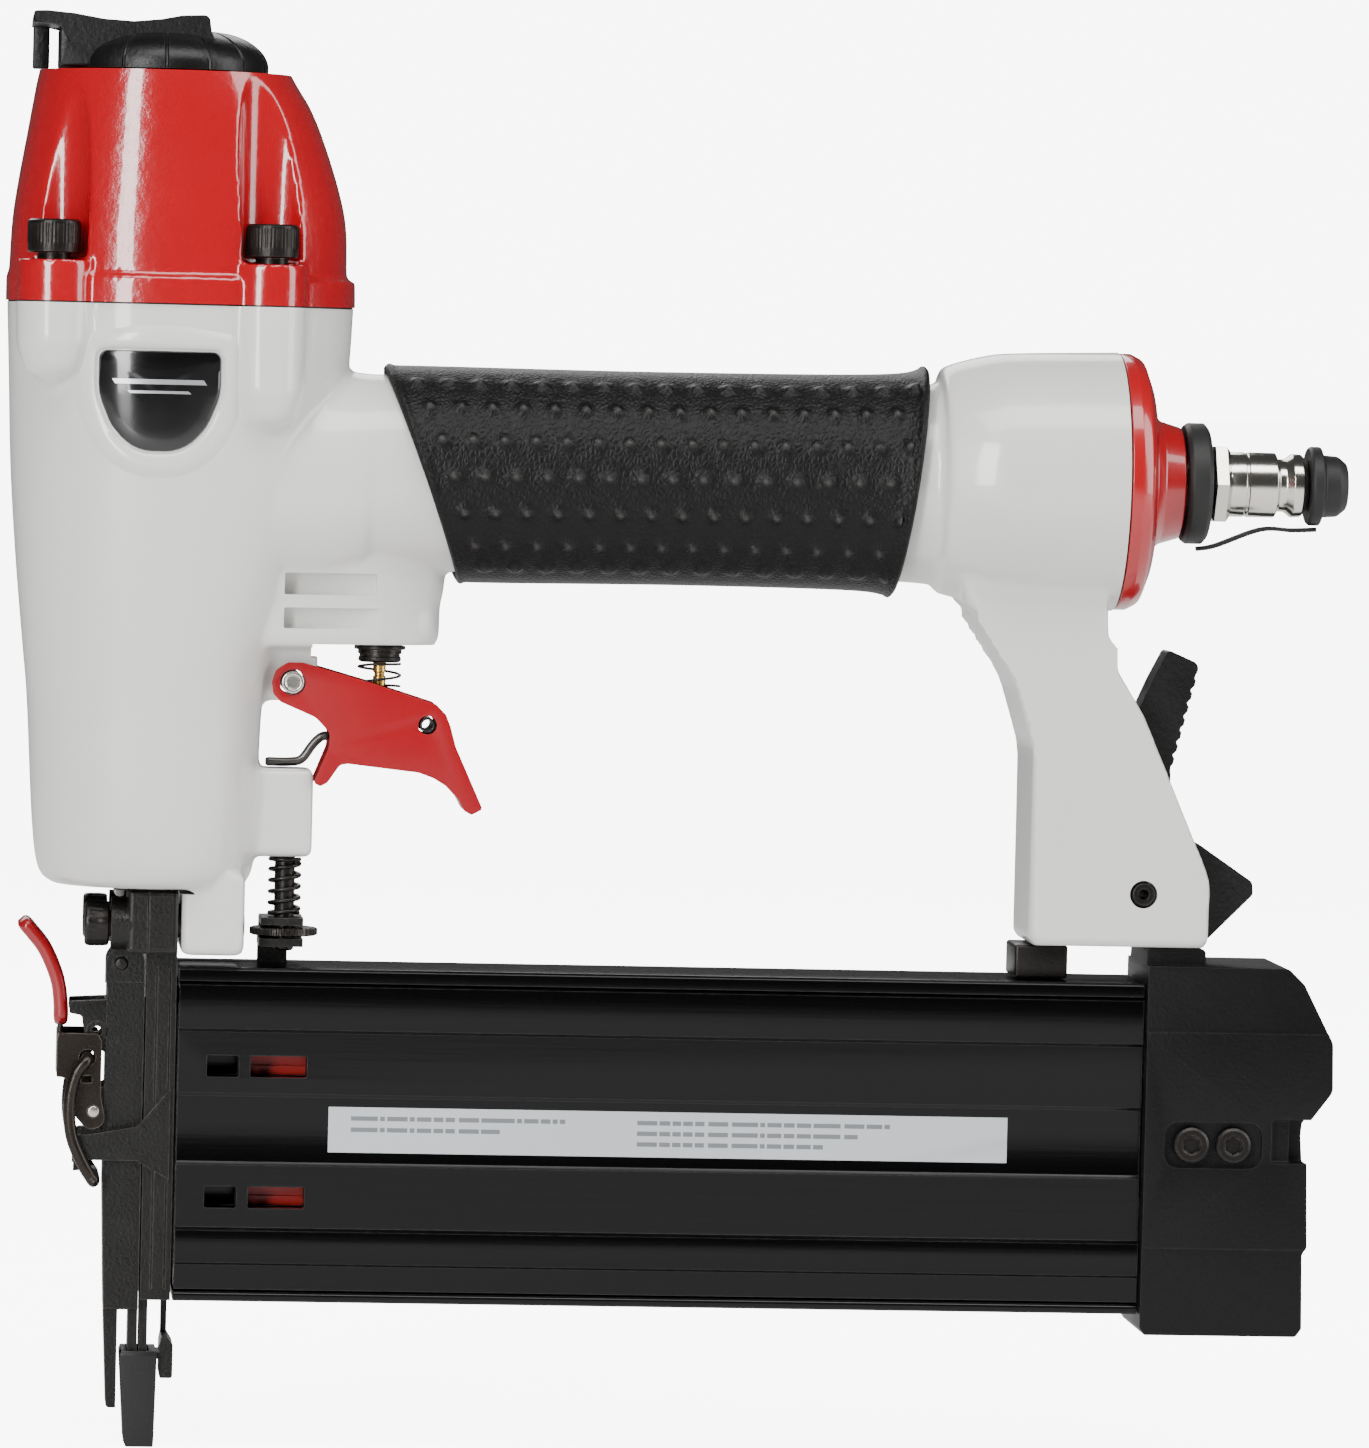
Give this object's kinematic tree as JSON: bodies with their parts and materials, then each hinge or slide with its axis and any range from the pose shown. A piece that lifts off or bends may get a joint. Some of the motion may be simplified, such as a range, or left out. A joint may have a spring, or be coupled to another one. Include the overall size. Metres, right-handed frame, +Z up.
{
  "type": "brad nailer",
  "caption": "Pneumatic brad nailer with a round head, gripped handle, side-loading magazine, latched nose door and contact safety.",
  "frame": {"origin": "level with the contact tip's work face, under the middle of the tool's box; the driver's axis stands at x = -0.0978", "axes": "+Z up along the driver, +X back along the handle and magazine, Y across the tool"},
  "size_m": [0.2526, 0.0576, 0.2666],
  "materials": {
    "white_paint": "gloss powder coat on an aluminium casting",
    "red_paint": "gloss red powder coat on aluminium",
    "red_satin": "satin red coat on stamped steel",
    "red_vinyl": "dipped vinyl",
    "red_plastic": "moulded plastic",
    "black_plastic": "moulded satin plastic",
    "grip_rubber": "leather-grained soft grip",
    "seal_rubber": "moulded rubber",
    "phosphate_steel": "black phosphated steel casting",
    "black_steel": "black oxide steel",
    "bright_steel": "bright steel",
    "nickel": "nickel plate",
    "brass": "turned brass",
    "bare_aluminium": "machined",
    "black_anodised": "black anodised extrusion",
    "label_foil": "silver foil label",
    "badge_gloss": "gloss black dome badge"
  },
  "bodies": {
    "housing": {"body_housing": "white_paint", "head_cap": "red_paint", "head_gasket": "seal_rubber", "head_screw_1": "black_steel", "head_screw_2": "black_steel", "head_screw_3": "black_steel", "head_screw_4": "black_steel", "deflector_screw": "bright_steel", "head_valve_spring": "bright_steel", "cylinder": "bare_aluminium", "cylinder_seal": "seal_rubber", "bumper": "seal_rubber", "nose_base": "phosphate_steel", "nose_hinge_pin": "bright_steel", "nose_screw_1": "black_steel", "nose_screw_2": "black_steel", "safety_spring": "black_steel", "trigger_pivot_pin": "bright_steel", "trigger_valve_body": "black_steel", "trigger_spring": "black_steel", "grip_sleeve": "grip_rubber", "handle_end_cap": "red_paint", "end_cap_seal": "seal_rubber", "air_fitting": "nickel", "dust_cap_ring": "seal_rubber", "dust_cap_strap": "seal_rubber", "magazine_rail": "black_anodised", "magazine_bracket": "black_steel", "release_pin": "black_steel", "release_spring": "bright_steel", "name_badge": "badge_gloss"},
    "deflector": {"exhaust_deflector": "black_plastic"},
    "head_valve": {"head_valve": "bare_aluminium"},
    "driver": {"piston": "bare_aluminium", "piston_ring": "seal_rubber", "driver_blade": "bright_steel"},
    "trigger": {"trigger": "red_satin", "trigger_roll_pin": "bright_steel"},
    "rocker": {"trigger_rocker": "bright_steel"},
    "valve_stem": {"trigger_valve_stem": "brass"},
    "safety": {"contact_arm": "phosphate_steel", "contact_tip": "seal_rubber", "safety_rod": "black_steel", "safety_wire": "bright_steel"},
    "depth_wheel": {"depth_wheel": "black_steel"},
    "nose_door": {"nose_door": "phosphate_steel", "latch_pivot_pin": "bright_steel"},
    "latch_lever": {"latch_lever": "black_steel", "latch_handle_sleeve": "red_vinyl"},
    "latch_bail": {"latch_bail": "black_steel"},
    "magazine_slide": {"magazine_cover": "black_anodised", "magazine_end_cap": "black_plastic", "end_cap_screw_1": "black_steel", "end_cap_screw_2": "black_steel", "magazine_label": "label_foil", "pusher_spring": "bright_steel"},
    "pusher": {"pusher": "red_plastic"},
    "release_lever": {"release_lever": "black_plastic"},
    "dust_cap": {"dust_cap": "seal_rubber"}
  },
  "joints": [
    {"name": "deflector_turn", "type": "hinge", "parent": "housing", "child": "deflector", "pos_m": [-0.0978, 0, 0.258], "axis": [0, 0, 1], "continuous": true},
    {"name": "head_valve_slide", "type": "slide", "parent": "housing", "child": "head_valve", "axis": [0, 0, 1], "range_m": [0, 0.004], "stiffness_N_per_m": 600, "springref_m": -0.001, "deforming": ["head_valve_spring"]},
    {"name": "driver_slide", "type": "slide", "parent": "housing", "child": "driver", "axis": [0, 0, -1], "range_m": [0, 0.077]},
    {"name": "trigger_pull", "type": "hinge", "parent": "housing", "child": "trigger", "pos_m": [-0.07165, 0, 0.1434], "axis": [0, -1, 0], "range_deg": [0, 10], "stiffness_Nm_per_rad": 0.25, "springref_deg": -5.73, "deforming": ["trigger_spring"]},
    {"name": "rocker_lift", "type": "hinge", "parent": "trigger", "child": "rocker", "pos_m": [-0.04635, 0, 0.1359], "axis": [0, 1, 0], "range_deg": [0, 26]},
    {"name": "valve_stem_slide", "type": "slide", "parent": "housing", "child": "valve_stem", "axis": [0, 0, 1], "range_m": [0, 0.003]},
    {"name": "safety_slide", "type": "slide", "parent": "housing", "child": "safety", "axis": [0, 0, 1], "range_m": [0, 0.007], "stiffness_N_per_m": 700, "springref_m": -0.004, "deforming": ["safety_spring"]},
    {"name": "depth_wheel_turn", "type": "hinge", "parent": "safety", "child": "depth_wheel", "pos_m": [-0.0721, 0, 0.0966], "axis": [0, 0, 1], "continuous": true},
    {"name": "latch_lever_swing", "type": "hinge", "parent": "nose_door", "child": "latch_lever", "pos_m": [-0.10705, 0, 0.0629], "axis": [0, -1, 0], "range_deg": [0, 90]},
    {"name": "nose_door_swing", "type": "hinge", "parent": "housing", "child": "nose_door", "pos_m": [-0.10235, 0, 0.0904], "axis": [0, 1, 0], "range_deg": [0, 80]},
    {"name": "latch_bail_swing", "type": "hinge", "parent": "latch_lever", "child": "latch_bail", "pos_m": [-0.10835, 0, 0.0729], "axis": [0, 1, 0], "range_deg": [0, 90]},
    {"name": "magazine_draw", "type": "slide", "parent": "housing", "child": "magazine_slide", "axis": [1, 0, 0], "range_m": [0, 0.13]},
    {"name": "pusher_slide", "type": "slide", "parent": "magazine_slide", "child": "pusher", "axis": [1, 0, 0], "range_m": [0, 0.12], "stiffness_N_per_m": 40, "springref_m": -0.06, "deforming": ["pusher_spring"]},
    {"name": "release_lever_press", "type": "hinge", "parent": "housing", "child": "release_lever", "pos_m": [0.08805, 0, 0.1072], "axis": [0, -1, 0], "range_deg": [0, 8], "stiffness_Nm_per_rad": 1.2, "springref_deg": -8.59, "deforming": ["release_spring"]},
    {"name": "dust_cap_pull", "type": "slide", "parent": "housing", "child": "dust_cap", "axis": [1, 0, 0], "range_m": [0, 0.015], "deforming": ["dust_cap_strap"]}
  ],
  "couplings": [
    {"joint": "rocker_lift", "follows": "safety_slide", "rad_per_m": 61.087},
    {"joint": "valve_stem_slide", "follows": "trigger_pull", "m_per_rad": 0.012},
    {"joint": "nose_door_swing", "follows": "latch_lever_swing", "ratio": 0.85},
    {"joint": "latch_bail_swing", "follows": "latch_lever_swing", "ratio": 1}
  ]
}
